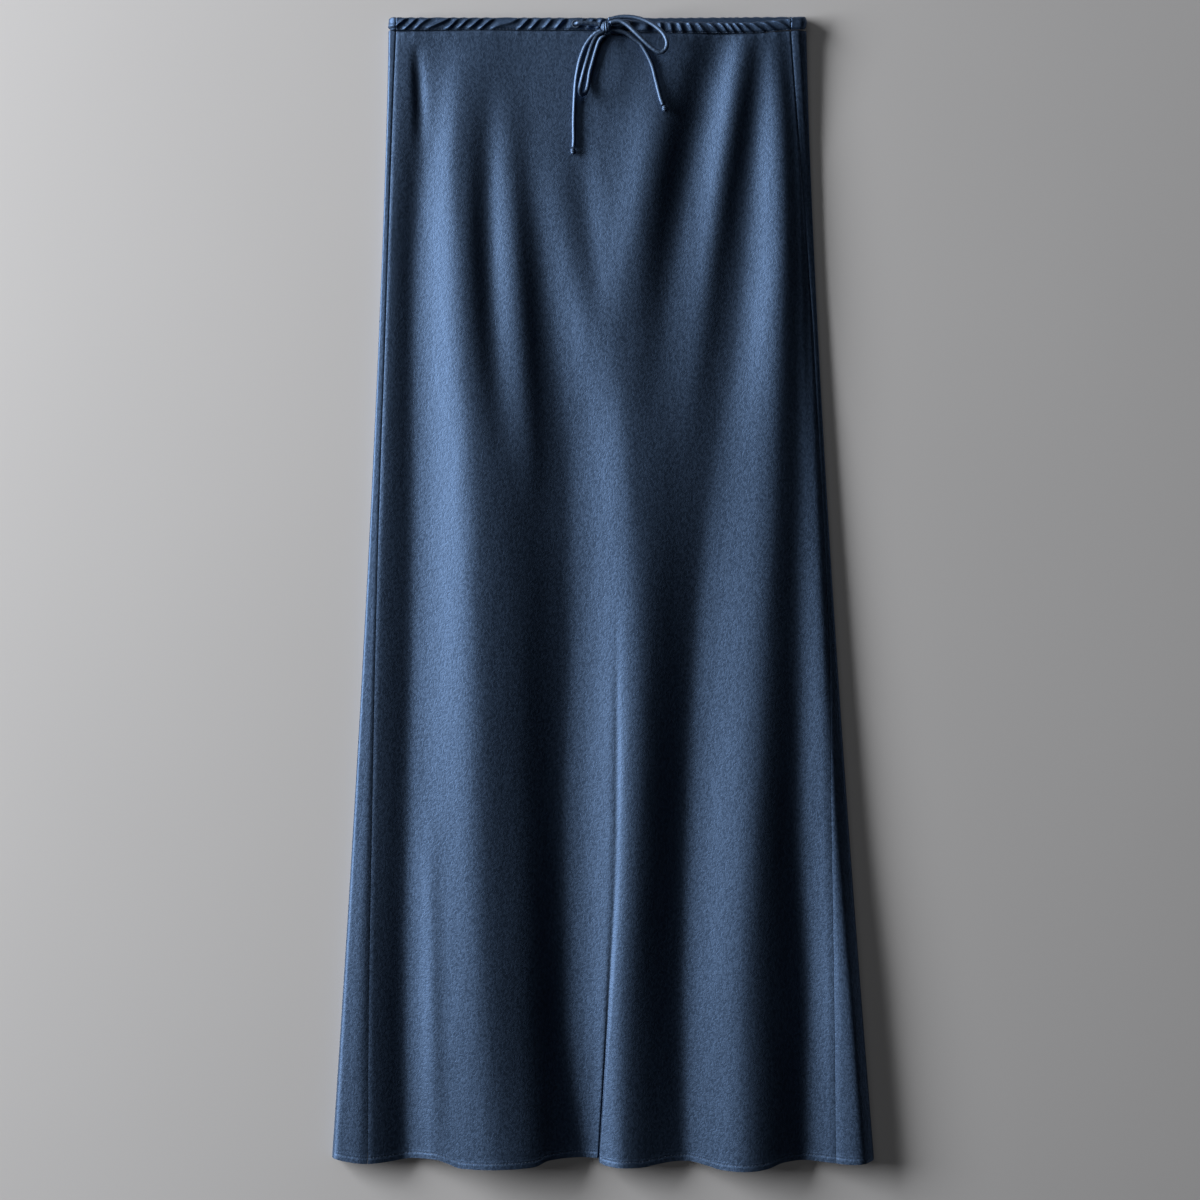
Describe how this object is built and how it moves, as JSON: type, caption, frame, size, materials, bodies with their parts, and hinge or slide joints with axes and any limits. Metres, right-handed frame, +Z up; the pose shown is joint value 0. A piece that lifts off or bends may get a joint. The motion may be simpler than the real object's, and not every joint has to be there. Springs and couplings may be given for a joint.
{
  "type": "long satin skirt with a drawstring waist, laid flat",
  "caption": "Long flared satin skirt laid flat, with a gathered casing at the waist and a drawstring tied in a bow.",
  "frame": {"origin": "bottom centre of the skirt's box: the middle of its outline, on the surface that it lies on", "axes": "+Z up out of the skirt's front, +Y from the hem to the waist, +X to the right as seen from the front"},
  "size_m": [0.467, 0.9929, 0.0312],
  "materials": {
    "satin": "satin",
    "cord": "satin",
    "thread": "matte"
  },
  "bodies": {
    "root": {"front_panel": "satin", "back_panel": "satin", "front_casing": "satin", "back_casing": "satin", "eyelet_left": "thread", "eyelet_right": "thread", "drawstring_in_casing": "cord", "drawstring_lead_left": "cord", "drawstring_lead_right": "cord", "drawstring_loop_left": "cord", "drawstring_loop_right": "cord", "drawstring_tail_left": "cord", "drawstring_tail_right": "cord", "drawstring_knot": "cord", "tail_knot_left": "cord", "tail_knot_right": "cord"}
  },
  "joints": []
}
